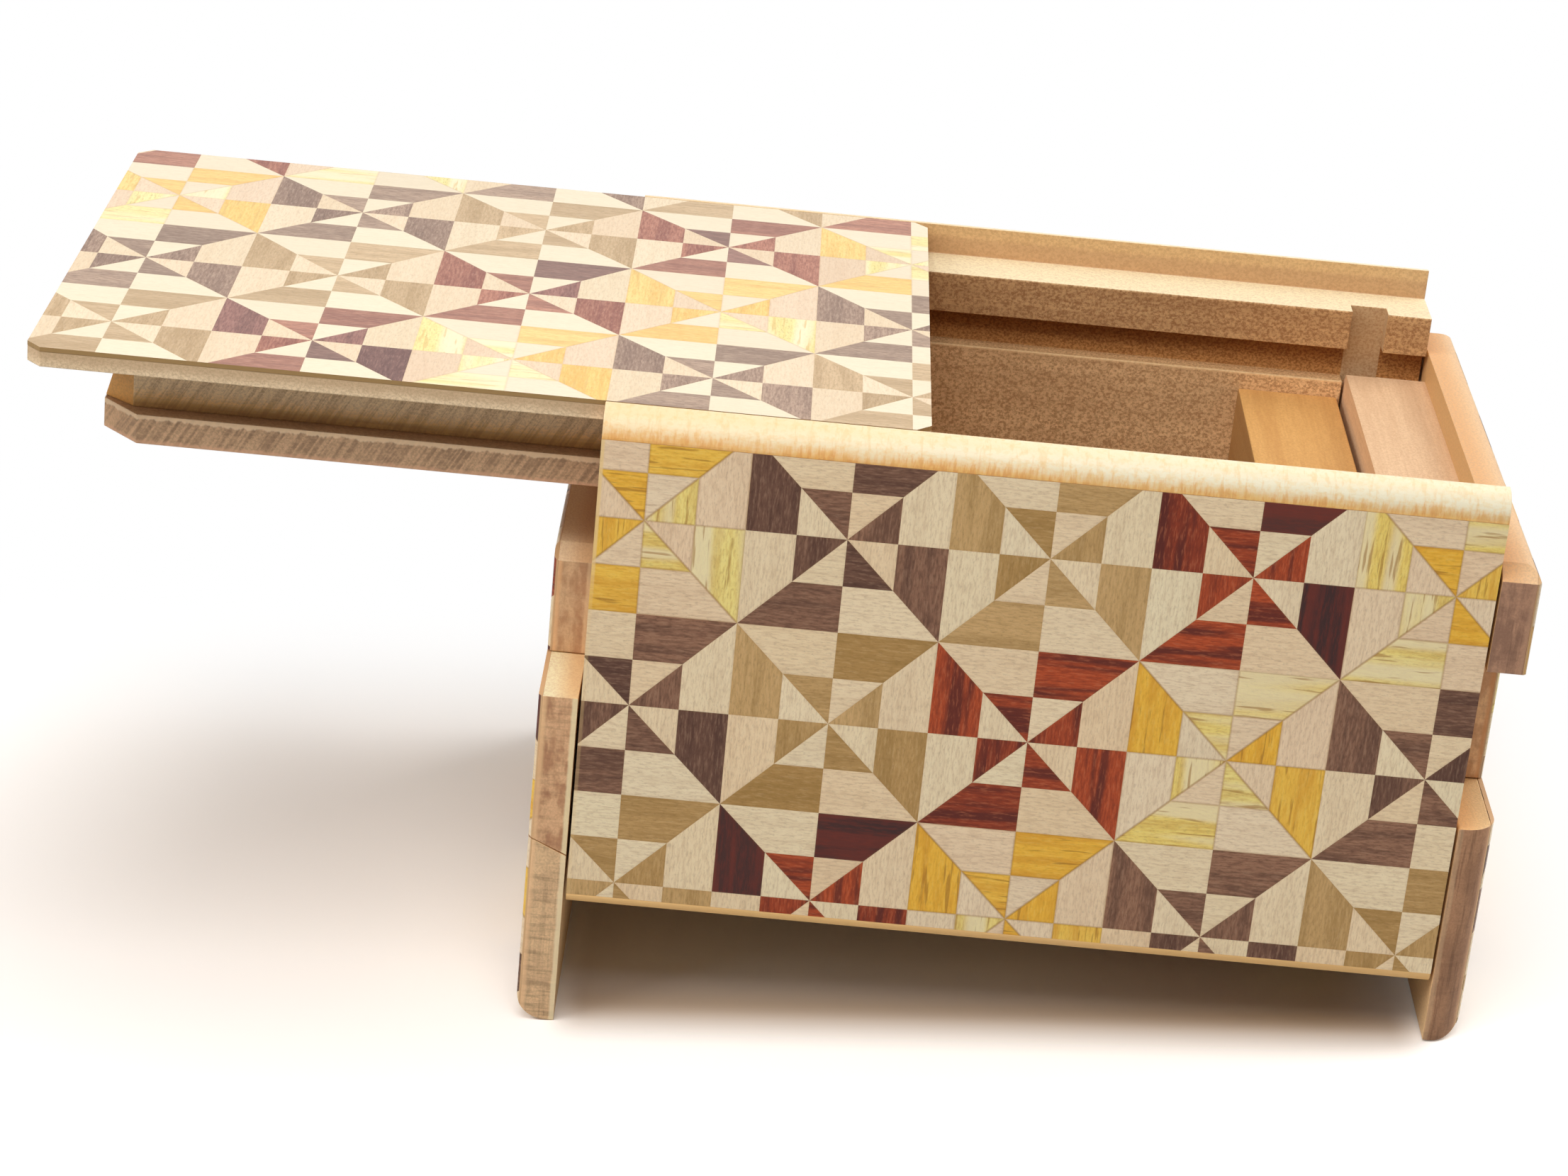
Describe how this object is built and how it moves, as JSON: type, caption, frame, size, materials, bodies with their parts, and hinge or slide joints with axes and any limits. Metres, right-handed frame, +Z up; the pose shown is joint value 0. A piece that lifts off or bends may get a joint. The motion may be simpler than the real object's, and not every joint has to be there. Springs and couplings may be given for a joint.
{
  "type": "puzzle box",
  "caption": "Wooden secret box with a marquetry skin, drawn open, with a sliding lid, sliding end panels and key bars that lock them.",
  "frame": {"origin": "centre of the flat underside of the box, between the walls", "axes": "+X along the walls to the right, so the lid draws out towards -X; +Y from the front wall to the back wall; +Z up out of the underside"},
  "size_m": [0.2026, 0.1125, 0.0915],
  "materials": {
    "marquetry": "satin",
    "wall_wood": "satin",
    "lid_wood": "matte",
    "bar_wood": "satin",
    "inner_wood": "matte"
  },
  "bodies": {
    "box_body": {"front_wall": "wall_wood", "back_wall": "wall_wood", "front_veneer": "marquetry", "back_veneer": "marquetry", "bottom_board": "inner_wood", "bottom_veneer": "marquetry", "compartment_floor": "inner_wood", "left_end_block": "inner_wood", "right_end_block": "inner_wood"},
    "lid": {"lid_veneer": "marquetry", "lid_board": "lid_wood", "lid_guide_board": "lid_wood", "lid_neck": "lid_wood", "lid_runner": "lid_wood"},
    "left_end_panel": {"left_runner": "inner_wood", "left_neck": "inner_wood", "left_backing": "inner_wood", "left_middle_bar": "bar_wood", "left_middle_veneer": "marquetry"},
    "left_upper_key": {"left_upper_bar": "bar_wood", "left_upper_veneer": "marquetry", "left_upper_tongue": "inner_wood"},
    "left_lower_key": {"left_lower_bar": "bar_wood", "left_lower_veneer": "marquetry", "left_lower_tongue": "inner_wood"},
    "right_end_panel": {"right_runner": "inner_wood", "right_neck": "inner_wood", "right_backing": "inner_wood", "right_upper_bar": "bar_wood", "right_upper_veneer": "marquetry", "right_lower_bar": "bar_wood", "right_lower_veneer": "marquetry"},
    "right_middle_key": {"right_middle_bar": "bar_wood", "right_middle_veneer": "marquetry", "right_middle_tongue": "inner_wood"}
  },
  "joints": [
    {"name": "lid_slide", "type": "slide", "parent": "box_body", "child": "lid", "axis": [1, 0, 0], "range_m": [-0.043, 0.0768]},
    {"name": "left_end_slide", "type": "slide", "parent": "box_body", "child": "left_end_panel", "axis": [0, 0, 1], "range_m": [0, 0.0108]},
    {"name": "right_end_slide", "type": "slide", "parent": "box_body", "child": "right_end_panel", "axis": [0, 0, 1], "range_m": [-0.0155, 0.0095]},
    {"name": "left_upper_key_slide", "type": "slide", "parent": "left_end_panel", "child": "left_upper_key", "axis": [0, -1, 0], "range_m": [0, 0.0145]},
    {"name": "left_lower_key_slide", "type": "slide", "parent": "left_end_panel", "child": "left_lower_key", "axis": [0, 1, 0], "range_m": [0, 0.015]},
    {"name": "right_middle_key_slide", "type": "slide", "parent": "right_end_panel", "child": "right_middle_key", "axis": [0, -1, 0], "range_m": [0, 0.0165]}
  ]
}
